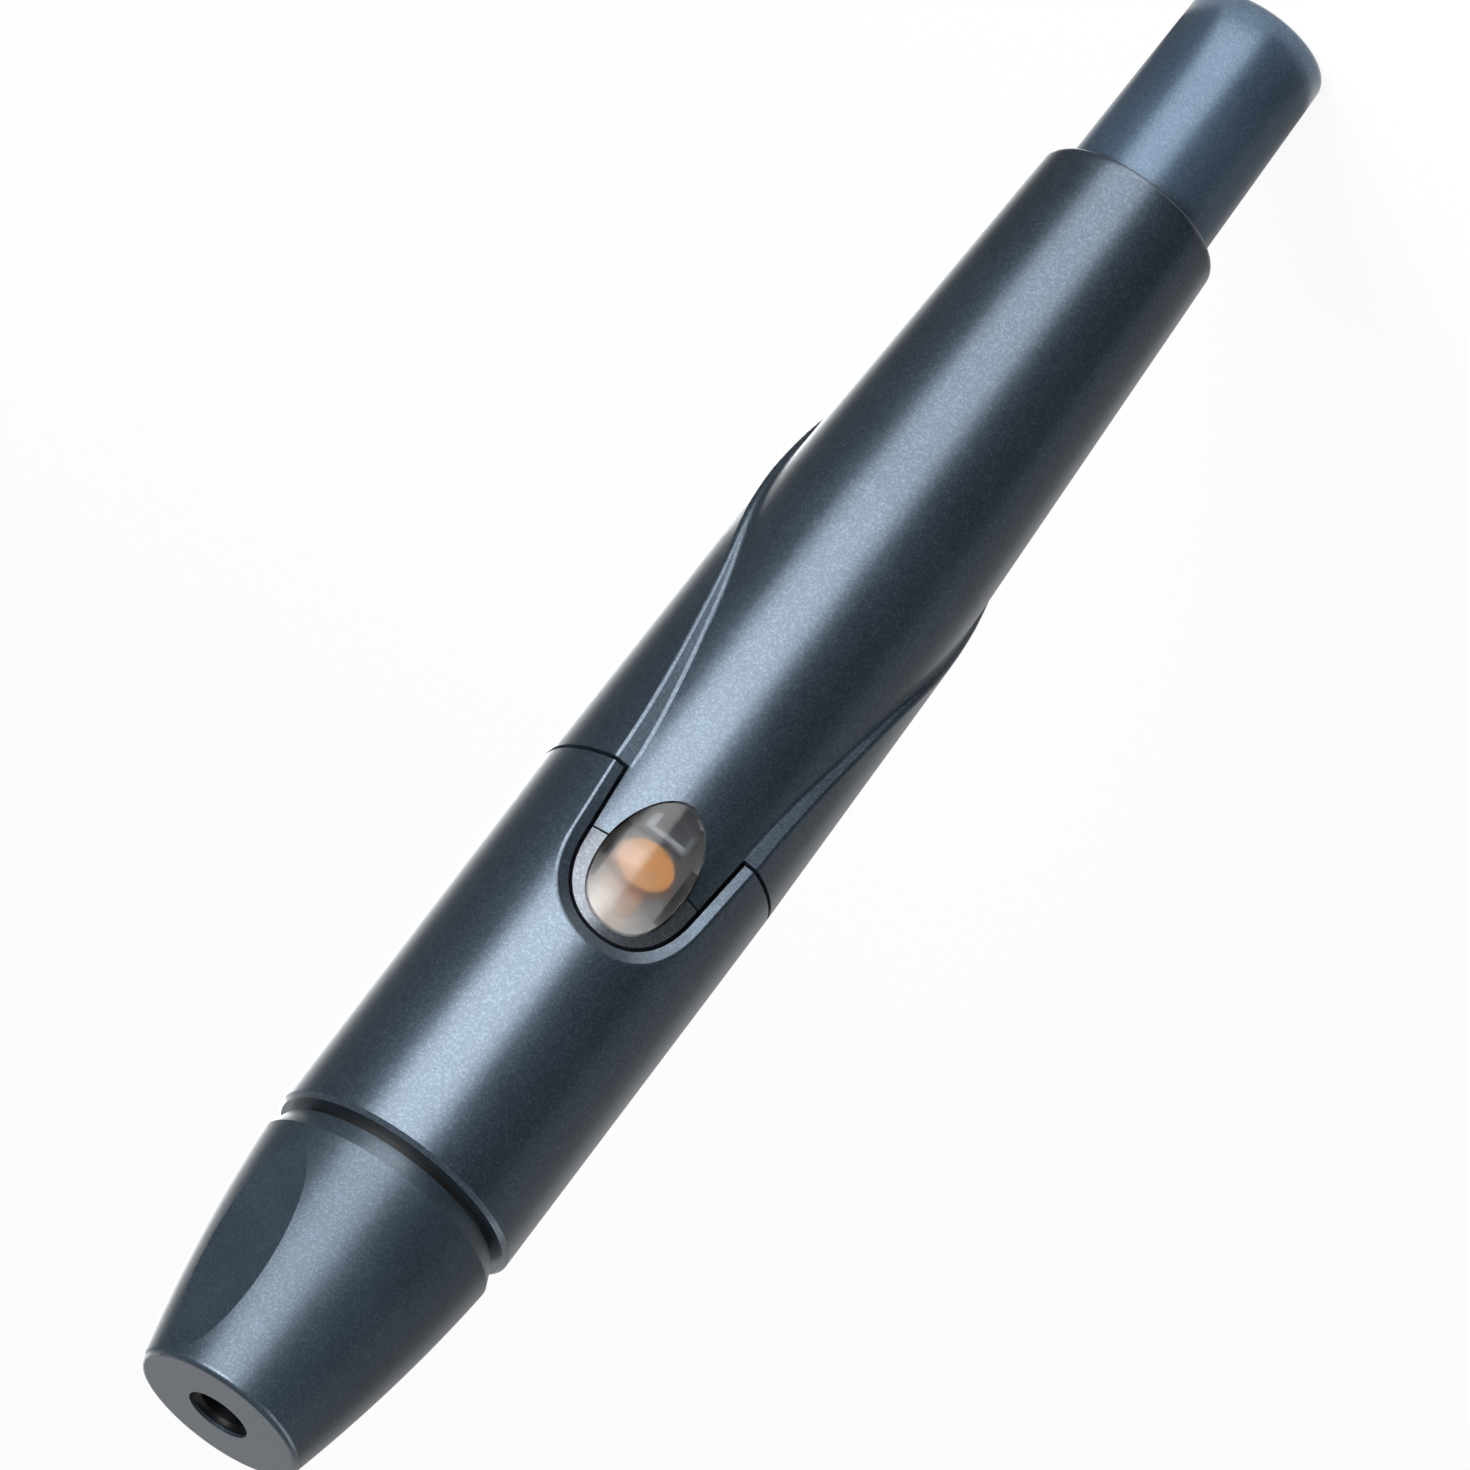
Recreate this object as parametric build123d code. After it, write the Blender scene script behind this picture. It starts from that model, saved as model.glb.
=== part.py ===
"""Pen lancing device: cap, depth dial, ejector sleeve, housing, release button, plunger and striker.

The pen stands on the flat end of its plunger, with the tip up. Heights run along +Z from that end face, and
the release button faces -Y. Stations are distances back from the face of the tip, in millimetres.
"""
from build123d import *
import math
import os

# Fits shared by the whole pen
running_clearance = 0.05
slide_clearance = 0.10
press_clearance = 0.02
free_gap = 0.30

# How near an edge's middle comes to the surface that it is looked for on
edge_reach = 0.06

# Front sleeve, which slides forward to eject the lancet
ring_gap = 0.7
sleeve_length = 29.3
sleeve_radius = 8.8
sleeve_wall = 1.5
sleeve_edge_round = 0.3
shoulder_width = 1.0
shoulder_height = 0.85
click_room = 1.0
window_length = 3.4
window_width = 6.0
window_setback = 2.4
window_thickness = 1.0

# Cap with the tip opening
cap_length = 18.3
cap_tip_radius = 6.0
cap_flank_drop = 1.15
cap_flank_station = 7.6
cap_rim_step = 0.1
cap_rim_chamfer = 0.55
cap_rim_chamfer_length = 1.35
cap_edge_round = 0.5
cap_wall = 1.2
cap_front_wall = 1.5
tip_bore_radius = 1.75
tip_recess_radius = 2.2
tip_recess_depth = 0.6
finger_dish_radius = 110.0
finger_dish_depth = 0.5
finger_dish_station = 8.8
finger_dish_angle = 52.0
cap_flank_lean = 9.0

# Depth dial that turns with the cap
spigot_length = 4.0
spigot_step = 0.35
dial_wall = 0.6
dial_seat_depth = 8.3
dial_click_count = 24
dial_click_width = 0.6
dial_click_depth = 0.5

# Notch round the button, and the light crescent that fills its front
tongue_half_width = 4.18
notch_gap = 0.3
notch_centre_setback = 5.5
notch_nose_reach = 0.6
notch_flare = 5.0
notch_lip_depth = 0.65
notch_lip_width = 0.95
notch_crest_round = 0.3
surround_drop = 0.8
tongue_setback = 4.4
seam_gap = 0.12

# Release button: a clear dome, a little more pointed towards the rear
button_setback = 4.9
button_half_width = 3.1
button_front_length = 4.6
button_rear_length = 5.1
button_gap = 0.15
button_rise = 0.05
button_height = 2.1
button_cross_radius = 4.8
button_long_radius = 15.0
button_travel = 0.9
button_leg_inner = 2.1
button_leg_outer = 2.8
button_leg_length = 4.2
button_hook = 0.8
button_hook_height = 0.45
button_hook_gap = 0.12
button_rib_length = 1.0
button_rib_setback = 2.8
button_rib_half_width = 1.0
button_rib_height = 1.25
rib_gap = 0.1

# Rear housing: a tapered core, and raised wings that run back from the sleeve
joint_gap = 0.3
housing_length = 54.45
core_front_drop = 0.75
core_mid_drop = 0.04
core_mid_station = 11.4
core_cone_drop = 0.13
core_cone_station = 25.1
housing_end_round = 0.8
wing_step = 0.48
wing_ridge_round = 0.35
wing_foot_round = 0.4
housing_wall = 1.1
housing_mid_wall = 1.32
housing_front_bore_length = 9.5
housing_bush_lead = 5.0
rear_wall = 1.4
rear_lip = 1.12

# Foot of the wings: (share of the wings' length, angle round the pen from the button)
wing_length = 38.5
wing_foot = [(-0.03, 34.5), (0.06, 36.2), (0.19, 42.5), (0.31, 50.5), (0.435, 62.0), (0.59, 84.0),
             (0.71, 99.0), (0.825, 114.0), (0.92, 134.0)]

# Chassis: the inner tube that carries everything
chassis_nose_length = 7.6
chassis_web = 1.4
chassis_wall = 1.4
chassis_rear_wall = 1.1
chassis_bulkhead = 1.5
bulkhead_gap = 1.6

# Lancet holder and striker
holder_front_room = 2.0
holder_radius = 3.2
holder_web = 0.9
socket_radius = 1.6
socket_depth = 7.0
rod_radius = 2.0
rod_seat_depth = 5.5
rod_tail = 4.4
collar_clearance = 0.2
collar_thickness = 1.4
catch_rim = 0.7
catch_thickness = 1.0
striker_travel = 5.5

# Indicator under the button
indicator_radius = 1.4
indicator_setback = 0.8
indicator_lead = 3.4
indicator_thickness = 1.0
indicator_clearance = 0.15
indicator_post_width = 1.6

# Trigger lever and its pin
pivot_setback = 2.9
pivot_drop = 0.35
pivot_pin_radius = 0.5
pivot_pin_half_length = 4.0
lever_hub_radius = 1.1
lever_half_width = 1.1
lever_slot_clearance = 0.3
lever_thickness = 1.0
lever_front_reach = 5.5
lever_rear_reach = 4.9
hook_thickness = 1.2
hook_clearance = 0.1
catch_gap = 0.2

# Ejector fork and pin
ejector_travel = 6.0
fork_gap = 0.4
fork_thickness = 0.85
fork_half_width = 1.0
ejector_pin_radius = 0.45
ejector_pin_setback = 0.65
ejector_slot_width = 1.1
ejector_slot_room = 0.6

# Plunger, prime sleeve and bush
plunger_reach = 15.5
plunger_radius = 5.4
plunger_taper = 0.35
plunger_end_round = 0.8
plunger_wall = 1.3
plunger_seat_step = 0.8
plunger_floor = 1.7
plunger_flange_clearance = 0.15
plunger_flange_room = 0.4
plunger_flange_thickness = 1.8
bush_length = 7.9
bush_wall = 0.5
plunger_exit_clearance = 0.1
seat_step_setback = 5.5
prime_sleeve_radius = 2.0
prime_sleeve_bore = 1.2
prime_flange_thickness = 1.2
spring_seat_margin = 0.9
spring_seat_thickness = 1.0

# Springs: room from what the coil goes round to the middle of its wire, wire radius and number of turns
wire_sides = 6
return_coil_room = 1.4
return_wire_radius = 0.3
return_turns = 3
drive_coil_room = 0.7
drive_wire_radius = 0.3
drive_turns = 6
drive_spring_length = 15.8
plunger_coil_room = 1.2
plunger_wire_radius = 0.3
plunger_turns = 7
trigger_coil_radius = 0.7
trigger_wire_radius = 0.15
trigger_turns = 3
trigger_spring_setback = 2.1

# Radii that follow from the sleeve and the plunger
sleeve_bore = sleeve_radius - sleeve_wall
shoulder_bore = sleeve_bore - shoulder_height
cap_rim_radius = sleeve_radius - cap_rim_step
cap_flank_radius = cap_rim_radius - cap_flank_drop
spigot_radius = sleeve_bore - running_clearance - spigot_step
cap_bore = spigot_radius + running_clearance
dial_bore = spigot_radius - dial_wall
fork_outer = dial_bore - fork_gap
fork_inner = fork_outer - fork_thickness
chassis_radius = sleeve_bore - slide_clearance
chassis_nose_radius = fork_inner - free_gap
chassis_front_bore = chassis_radius - chassis_wall
collar_radius = chassis_front_bore - collar_clearance
surround_radius = sleeve_radius - surround_drop
core_front_radius = sleeve_radius - core_front_drop
core_mid_radius = core_front_radius - core_mid_drop
core_cone_radius = core_front_radius - core_cone_drop
core_rear_radius = plunger_radius + plunger_exit_clearance + rear_lip
wing_rear_radius = core_cone_radius + wing_step
housing_front_bore = core_front_radius - housing_wall
housing_mid_bore = core_cone_radius - housing_mid_wall
chassis_rear_bore = housing_mid_bore - slide_clearance - chassis_rear_wall
bush_bore = plunger_radius + running_clearance
bush_seat_radius = bush_bore + bush_wall
plunger_flange_radius = bush_seat_radius - plunger_flange_clearance
housing_rear_bore = plunger_flange_radius + plunger_flange_room
plunger_bore = plunger_radius - plunger_wall
plunger_cavity = plunger_bore - plunger_seat_step
plunger_end_radius = plunger_radius - plunger_taper
return_coil_radius = holder_radius + return_coil_room
drive_coil_radius = rod_radius + drive_coil_room
plunger_coil_radius = prime_sleeve_radius + plunger_coil_room
catch_radius = drive_coil_radius + catch_rim
spring_seat_radius = drive_coil_radius + spring_seat_margin

# Heights of the button's train off the pen's axis
button_crown = sleeve_radius + button_rise
button_floor = button_crown - button_height
lever_top = button_floor - button_rib_height - rib_gap
pivot_height = lever_top - pivot_drop
indicator_top = button_floor - button_travel - indicator_clearance
indicator_underside = indicator_top - indicator_thickness

# Stations along the pen, measured back from the face of the tip
sleeve_front = cap_length + ring_gap
sleeve_rear = sleeve_front + sleeve_length
housing_front = sleeve_rear + joint_gap
housing_rear = housing_front + housing_length
overall_length = housing_rear + plunger_reach
dial_rear = sleeve_front + dial_seat_depth
shoulder_front = dial_rear + click_room
shoulder_rear = shoulder_front + shoulder_width
chassis_step = shoulder_rear + free_gap
web_rear = chassis_step + chassis_web
window_front = sleeve_front + window_setback
window_rear = window_front + window_length
notch_centre = sleeve_rear - notch_centre_setback
notch_half_width = tongue_half_width + notch_gap
tongue_front = sleeve_rear - tongue_setback
button_station = sleeve_rear - button_setback
indicator_front = button_station + indicator_setback - indicator_radius
indicator_rear = indicator_front + 2 * indicator_radius
collar_rear = indicator_front - indicator_lead
collar_front = collar_rear - collar_thickness
pivot_station = housing_front + pivot_setback
hook_rear = pivot_station + lever_rear_reach
catch_front = hook_rear + catch_gap
catch_rear = catch_front + catch_thickness
seat_front = catch_rear + drive_spring_length
prime_front = seat_front + spring_seat_thickness
bulkhead_front = prime_front + bulkhead_gap
chassis_rear = bulkhead_front + chassis_bulkhead
bush_rear = housing_rear - rear_wall
bush_front = bush_rear - bush_length
flange_front = bush_front - plunger_flange_thickness
prime_flange_rear = bush_front + seat_step_setback
prime_flange_front = prime_flange_rear - prime_flange_thickness
holder_front = cap_front_wall + striker_travel + holder_front_room
fork_front = holder_front + socket_depth + fork_gap
ejector_pin_station = fork_front + ejector_pin_setback
ejector_slot_front = ejector_pin_station - ejector_travel - ejector_pin_radius - ejector_slot_room
ejector_slot_rear = ejector_pin_station + striker_travel + ejector_pin_radius + ejector_slot_room
rod_front = ejector_slot_rear + holder_web
holder_rear = rod_front + rod_seat_depth


def height(station):
    """Height above the plunger's end face of a station measured from the tip."""
    return overall_length - station


def profile(points):
    """Closed outline from (radius, station) pairs, standing in the plane of the pen's axis."""
    corners = [(radius, height(station)) for radius, station in points]
    return Plane.XZ * make_face(Polyline(*corners, close=True))


def turned(points):
    """Solid of revolution about the pen's axis from (radius, station) pairs."""
    return revolve(profile(points), Axis.Z)


def tube(outer, inner, front, rear):
    """Plain ring between two stations."""
    return turned([(inner, front), (outer, front), (outer, rear), (inner, rear)])


def disc(radius, front, rear):
    """Plain round bar between two stations."""
    return turned([(0, front), (radius, front), (radius, rear), (0, rear)])


def block(x_range, y_range, front, rear):
    """Straight block between two stations, with its X and Y limits."""
    size = (x_range[1] - x_range[0], y_range[1] - y_range[0], rear - front)
    centre = (sum(x_range) / 2, sum(y_range) / 2, height((front + rear) / 2))
    return Pos(*centre) * Box(*size)


def looking_in(outline, outermost, innermost):
    """Extrudes an outline drawn across the pen inwards along +Y, between two distances off the axis."""
    plane = Plane(origin=(0, -outermost, 0), x_dir=(1, 0, 0), z_dir=(0, 1, 0))
    return extrude(plane * outline, outermost - innermost)


def seen_height(station):
    """Second coordinate of an outline for looking_in, whose plane has its own Y pointing down the pen."""
    return -height(station)


def button_outline(grow=0.0):
    """Oval of the button, with a rear end a little more pointed than the front."""
    centre = seen_height(button_station)
    front = (0, centre - button_front_length - grow)
    rear = (0, centre + button_rear_length + grow)
    right = (button_half_width + grow, centre)
    left = (-button_half_width - grow, centre)
    tall = (0, 1)
    wide = (1, 0)
    edges = [
        Spline(front, right, tangents=(wide, tall), tangent_scalars=(1.25, 1.25)),
        Spline(right, rear, tangents=(tall, (-1, 0)), tangent_scalars=(1.25, 0.85)),
        Spline(rear, left, tangents=((-1, 0), (0, -1)), tangent_scalars=(0.85, 1.25)),
        Spline(left, front, tangents=((0, -1), wide), tangent_scalars=(1.25, 1.25)),
    ]
    return make_face(edges)


def notch_outline(half_width, rear):
    """Round-nosed slot that widens a little towards the given rear station, where it opens."""
    centre = seen_height(notch_centre)
    end = seen_height(rear)
    lean = math.tan(math.radians(notch_flare))
    end_half = half_width + lean * (rear - notch_centre)
    nose = (0, centre - half_width - notch_nose_reach)
    return make_face([
        Spline((-half_width, centre), nose, tangents=((lean, -1), (1, 0)), tangent_scalars=(1.2, 1.2)),
        Spline(nose, (half_width, centre), tangents=((1, 0), (lean, 1)), tangent_scalars=(1.2, 1.2)),
        Line((half_width, centre), (end_half, end)),
        Line((end_half, end), (-end_half, end)),
        Line((-end_half, end), (-half_width, centre)),
    ])


def helical_spring(coil_radius, wire_radius, turns, front, rear):
    """Coil of faceted wire whose ends just reach two stations."""
    length = rear - front - 2 * wire_radius
    path = Helix(length / turns, length, coil_radius, center=(0, 0, height(rear) + wire_radius))
    wire = Plane(origin=path @ 0, z_dir=path % 0) * RegularPolygon(wire_radius, wire_sides)
    return sweep(wire, path=path, is_frenet=True)


def make_cap():
    """Tapered cap with a stepped tip opening and two shallow finger dishes, opposite each other."""
    rim_front = cap_length - cap_rim_chamfer_length
    outside = make_face([
        Line((0, height(0)), (cap_tip_radius, height(0))),
        ThreePointArc((cap_tip_radius, height(0)), (cap_flank_radius, height(cap_flank_station)),
                      (cap_rim_radius, height(rim_front))),
        Line((cap_rim_radius, height(rim_front)), (cap_rim_radius - cap_rim_chamfer, height(cap_length))),
        Line((cap_rim_radius - cap_rim_chamfer, height(cap_length)), (0, height(cap_length))),
        Line((0, height(cap_length)), (0, height(0))),
    ])
    tip_corner = outside.vertices().sort_by_distance((cap_tip_radius, height(0), 0))[0]
    body = revolve(Plane.XZ * fillet(tip_corner, cap_edge_round), Axis.Z)
    spigot_end = cap_length - spigot_length - slide_clearance
    hollow = turned([(0, cap_front_wall), (cap_tip_radius - cap_wall, cap_front_wall), (cap_bore, spigot_end),
                     (cap_bore, cap_length), (0, cap_length)])
    body -= hollow
    body -= disc(tip_bore_radius, 0, cap_front_wall)
    body -= disc(tip_recess_radius, 0, tip_recess_depth)
    for turn in (0, 180):
        body -= finger_dish(turn)
    return body


def finger_dish(turn):
    """Wide roller laid across the cap's flank, which leaves a shallow oval dish."""
    around = math.radians(finger_dish_angle + turn)
    lean = math.radians(cap_flank_lean)
    flat = math.cos(lean)
    outward = Vector(math.sin(around) * flat, -math.cos(around) * flat, math.sin(lean))
    across = Vector(math.cos(around), math.sin(around), 0)
    surface = cap_flank_radius + (finger_dish_station - cap_flank_station) * math.sin(lean)
    reach = surface * flat - finger_dish_depth + finger_dish_radius
    centre = Vector(0, 0, height(finger_dish_station)) + outward * reach
    return Plane(origin=centre, x_dir=outward, z_dir=across) * Cylinder(finger_dish_radius, 2 * sleeve_radius)


def make_depth_dial():
    """Ring that the cap snaps on, with click notches in its rear rim."""
    ring = turned([
        (dial_bore, cap_length - spigot_length), (spigot_radius, cap_length - spigot_length),
        (spigot_radius, cap_length), (sleeve_bore - running_clearance, cap_length),
        (sleeve_bore - running_clearance, dial_rear), (dial_bore, dial_rear),
    ])
    half = dial_click_width / 2
    across = (dial_bore + running_clearance, sleeve_bore + 1)
    notch = block(across, (-half, half), dial_rear - dial_click_depth, dial_rear + 1)
    ring -= [Rot(0, 0, 360 * step / dial_click_count) * notch for step in range(dial_click_count)]
    return ring


def make_dial_click_spring():
    """Flat ring on the sleeve's shoulder, with two pips that stand up to the dial's notches."""
    thickness = click_room / 2
    ring = tube(sleeve_bore - slide_clearance, shoulder_bore + slide_clearance, shoulder_front - thickness,
                shoulder_front)
    pip_radius = (sleeve_bore - shoulder_bore) / 2 - slide_clearance - running_clearance
    pip_place = (sleeve_bore + shoulder_bore) / 2
    pip_height = click_room - thickness - running_clearance
    pip_level = height(shoulder_front - thickness - pip_height / 2)
    pip = Pos(pip_place, 0, pip_level) * Cylinder(pip_radius, pip_height)
    for turn in (90, 270):
        ring += Rot(0, 0, turn) * pip
    return ring


def make_front_sleeve():
    """Sleeve with an inner shoulder, a window at the back and a round-nosed notch with a bevelled lip."""
    body = turned([
        (sleeve_bore, sleeve_front), (sleeve_radius - sleeve_edge_round, sleeve_front),
        (sleeve_radius, sleeve_front + sleeve_edge_round), (sleeve_radius, sleeve_rear),
        (sleeve_bore, sleeve_rear), (sleeve_bore, shoulder_rear), (shoulder_bore, shoulder_rear),
        (shoulder_bore, shoulder_front), (sleeve_bore, shoulder_front),
    ])
    body -= looking_in(notch_outline(notch_half_width, sleeve_rear + 1), sleeve_radius + 1, 0)
    barrel = body.faces().sort_by(SortBy.AREA)[-1]
    rim = [edge for edge in barrel.edges() if beside_notch(edge, edge_reach)]
    body = chamfer(rim, notch_lip_width, notch_lip_depth, reference=barrel)
    barrel = body.faces().sort_by(SortBy.AREA)[-1]
    crest = [edge for edge in barrel.edges() if beside_notch(edge, 2 * notch_lip_width)]
    body = fillet(crest, notch_crest_round)
    body -= block((-window_width / 2, window_width / 2), (0, sleeve_radius + 1), window_front, window_rear)
    return body


def beside_notch(edge, margin):
    """Whether an edge lies on the sleeve's surface beside the notch, within a margin of its sides."""
    middle = edge @ 0.5
    on_surface = abs(math.hypot(middle.X, middle.Y) - sleeve_radius) < edge_reach
    side = notch_half_width + (sleeve_rear - notch_centre) * math.tan(math.radians(notch_flare))
    inside = abs(middle.X) <= side + margin and middle.Y < 0
    return on_surface and inside and height(sleeve_rear) + edge_reach < middle.Z < height(sleeve_front) - 1


def make_depth_window():
    """Curved clear pane in the sleeve's back, over the dial's scale."""
    inner = sleeve_bore + slide_clearance
    front = window_front + running_clearance
    rear = window_rear - running_clearance
    pane = tube(inner + window_thickness, inner, front, rear)
    half = window_width / 2 - running_clearance
    return pane & block((-half, half), (0, sleeve_radius + 1), window_front, window_rear)


def core_radius(back):
    """Radius of the housing's core at a distance behind the housing's front."""
    if back < core_cone_station:
        share = back / core_cone_station
        return core_front_radius + (core_cone_radius - core_front_radius) * share ** 2
    share = (back - core_cone_station) / (housing_length - core_cone_station)
    return core_cone_radius + (core_rear_radius - core_cone_radius) * share


def wing_radius(back):
    """Radius of the raised wings at a distance behind the housing's front."""
    if back < core_cone_station:
        return sleeve_radius + (wing_rear_radius - sleeve_radius) * back / core_cone_station
    return core_radius(back) + wing_step


def make_core():
    """Housing's core and tongue as one solid of revolution, with a rounded rear end."""
    front = (core_front_radius, height(tongue_front))
    middle = (core_mid_radius, height(housing_front + core_mid_station))
    cone = (core_cone_radius, height(housing_front + core_cone_station))
    rear = (core_rear_radius, height(housing_rear))
    outline = make_face([
        Line((0, front[1]), front),
        ThreePointArc(front, middle, cone),
        Line(cone, rear),
        Line(rear, (0, rear[1])),
        Line((0, rear[1]), (0, front[1])),
    ])
    corner = outline.vertices().sort_by_distance((rear[0], rear[1], 0))[0]
    return revolve(Plane.XZ * fillet(corner, housing_end_round), Axis.Z)


def side_view(curve_points, top):
    """Region of the side view between a curve of (station, height towards the button) and a top level."""
    points = [(level, height(station)) for station, level in curve_points]
    return make_face([
        Spline(*points),
        Line(points[-1], (top, points[-1][1])),
        Line((top, points[-1][1]), (top, points[0][1])),
        Line((top, points[0][1]), points[0]),
    ])


def saddle_cutter():
    """Prism that clears the space between the wings and leaves a flat ledge along the foot of each."""
    side = Plane(origin=(0, 0, 0), x_dir=(0, -1, 0), z_dir=(-1, 0, 0))
    reach = 2 * sleeve_radius
    ledge = []
    for share, angle in wing_foot:
        back = share * wing_length
        ledge.append((housing_front + back, core_radius(back) * math.cos(math.radians(angle))))
    ledge.append((housing_front + wing_length, -sleeve_radius))
    return extrude(side * side_view(ledge, reach), reach, both=True)


def make_wings():
    """Raised shell round the back and sides of the core, with a rounded ridge above its ledge."""
    rear = housing_front + wing_length
    body = turned([(0, housing_front), (sleeve_radius, housing_front),
                   (wing_rear_radius, housing_front + core_cone_station), (wing_radius(wing_length), rear),
                   (0, rear)]) - saddle_cutter()
    ridge = [edge for edge in body.edges() if runs_along_wing(edge, wing_radius)]
    return fillet(ridge, wing_ridge_round)


def runs_along_wing(edge, radius_at):
    """Whether an edge follows the wings' ledge on the surface whose radius is given."""
    middle = edge @ 0.5
    back = height(housing_front) - middle.Z
    on_surface = abs(math.hypot(middle.X, middle.Y) - radius_at(back)) < edge_reach
    return edge.geom_type == GeomType.BSPLINE and on_surface and edge_reach < back < wing_length - edge_reach


def make_rear_housing():
    """Tapered housing with raised wings, a tongue that holds the rear of the button, and a stepped bore."""
    body = make_core()
    tongue_zone = looking_in(notch_outline(tongue_half_width, housing_front), sleeve_radius + 1, 0)
    body -= disc(sleeve_radius + 1, tongue_front - 1, housing_front) - tongue_zone
    body += make_wings()
    foot = [edge for edge in body.edges() if runs_along_wing(edge, core_radius)]
    body = fillet(foot, wing_foot_round)
    body -= turned([
        (0, tongue_front - 1), (chassis_radius + running_clearance, tongue_front - 1),
        (chassis_radius + running_clearance, housing_front), (housing_front_bore, housing_front),
        (housing_front_bore, housing_front + housing_front_bore_length),
        (housing_mid_bore, housing_front + housing_front_bore_length),
        (housing_mid_bore, chassis_rear + free_gap), (housing_rear_bore, chassis_rear + free_gap),
        (housing_rear_bore, bush_front - housing_bush_lead),
        (bush_seat_radius, bush_front - housing_bush_lead), (bush_seat_radius, bush_rear), (0, bush_rear),
    ])
    body -= disc(plunger_radius + plunger_exit_clearance, bush_rear - 1, housing_rear + 1)
    return body - looking_in(button_outline(button_gap), sleeve_radius + 1, 0)


def make_chassis():
    """Inner tube: a nose that guides the lancet holder, a web, a long barrel and a rear bulkhead."""
    flange_rear = housing_front + housing_front_bore_length - free_gap
    body = turned([
        (holder_radius + slide_clearance, chassis_step - chassis_nose_length),
        (chassis_nose_radius, chassis_step - chassis_nose_length), (chassis_nose_radius, chassis_step),
        (chassis_radius, chassis_step), (chassis_radius, housing_front),
        (housing_front_bore, housing_front), (housing_front_bore, flange_rear),
        (housing_mid_bore - slide_clearance, flange_rear), (housing_mid_bore - slide_clearance, chassis_rear),
        (prime_sleeve_radius + slide_clearance, chassis_rear),
        (prime_sleeve_radius + slide_clearance, bulkhead_front), (chassis_rear_bore, bulkhead_front),
        (chassis_rear_bore, housing_front), (chassis_front_bore, housing_front),
        (chassis_front_bore, web_rear), (holder_radius + slide_clearance, web_rear),
    ])
    body -= looking_in(button_outline(button_gap), sleeve_radius, 0)
    half_slot = lever_half_width + lever_slot_clearance
    body -= block((-half_slot, half_slot), (-sleeve_radius, 0), button_station, catch_front + free_gap)
    track = indicator_radius + lever_slot_clearance
    track_front = indicator_front - striker_travel - free_gap
    body -= block((-track, track), (-sleeve_radius, 0), track_front, button_station)
    body -= pivot_bar(pivot_pin_radius + press_clearance, pivot_pin_half_length + running_clearance)
    return body


def pivot_bar(radius, half_length):
    """Round bar along X at the trigger's pivot."""
    return Pos(0, -pivot_height, height(pivot_station)) * Rot(0, 90, 0) * Cylinder(radius, 2 * half_length)


def make_button_surround():
    """Crescent frame round the front half of the button, seated on the chassis."""
    rear = tongue_front - seam_gap
    front = notch_centre - tongue_half_width - notch_nose_reach - 1
    crescent = tube(surround_radius, chassis_radius, front, rear)
    crescent &= looking_in(notch_outline(tongue_half_width, rear + 1), sleeve_radius + 1, 0)
    return crescent - looking_in(button_outline(button_gap), sleeve_radius + 1, 0)


def button_dome():
    """Crowned bar under the button's face, more sharply curved across the pen than along it."""
    axis = button_crown - button_cross_radius
    arch = button_crown - button_long_radius
    level = height(button_station)
    reach = button_rear_length + 1
    sag = math.sqrt(button_long_radius ** 2 - reach ** 2)
    side = Plane(origin=(0, 0, 0), x_dir=(0, -1, 0), z_dir=(-1, 0, 0))
    outline = make_face([
        ThreePointArc((arch + sag, level - reach), (button_crown, level), (arch + sag, level + reach)),
        Line((arch + sag, level + reach), (axis, level + reach)),
        Line((axis, level + reach), (axis, level - reach)),
        Line((axis, level - reach), (arch + sag, level - reach)),
    ])
    return revolve(side * outline, Axis((0, -axis, 0), (0, 0, 1)))


def make_release_button():
    """Clear domed button with two hooked legs and a rib that presses the trigger lever."""
    drum = looking_in(button_outline(), button_crown, button_floor)
    body = drum & button_dome()
    leg_front = button_station - button_leg_length / 2
    leg_rear = button_station + button_leg_length / 2
    hook_top = math.sqrt(chassis_front_bore ** 2 - (button_leg_outer + button_hook) ** 2) - button_hook_gap
    leg_end = hook_top - button_hook_height
    for side in (-1, 1):
        leg_x = sorted((side * button_leg_inner, side * button_leg_outer))
        hook_x = sorted((side * button_leg_inner, side * (button_leg_outer + button_hook)))
        body += block(leg_x, (-button_floor, -leg_end), leg_front, leg_rear)
        body += block(hook_x, (-hook_top, -leg_end), leg_front, leg_rear)
    rib_front = button_station + button_rib_setback
    body += block((-button_rib_half_width, button_rib_half_width), (-button_floor, -lever_top - rib_gap),
                  rib_front, rib_front + button_rib_length)
    return body


def make_trigger_lever():
    """Rocking lever: a front arm under the button, a hub on the pin and a rear hook over the catch."""
    arm_y = (-lever_top, -lever_top + lever_thickness)
    half = lever_half_width
    front = pivot_station - lever_front_reach
    lever = block((-half, half), arm_y, front, hook_rear)
    hub = Pos(0, -pivot_height, height(pivot_station)) * Rot(0, 90, 0) * Cylinder(lever_hub_radius, 2 * half)
    hook_tip = -(catch_radius + hook_clearance)
    lever += hub
    lever += block((-half, half), (-lever_top, hook_tip), hook_rear - hook_thickness, hook_rear)
    return lever - pivot_bar(pivot_pin_radius + running_clearance, half + 1)


def make_lancet_holder():
    """Round holder with a lancet socket, a slot for the ejector pin and a seat for the striker rod."""
    body = disc(holder_radius, holder_front, holder_rear)
    body -= disc(socket_radius, holder_front, holder_front + socket_depth)
    body -= disc(rod_radius, rod_front, holder_rear)
    half = ejector_slot_width / 2
    across = holder_radius + 1
    return body - block((-across, across), (-half, half), ejector_slot_front, ejector_slot_rear)


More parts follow.
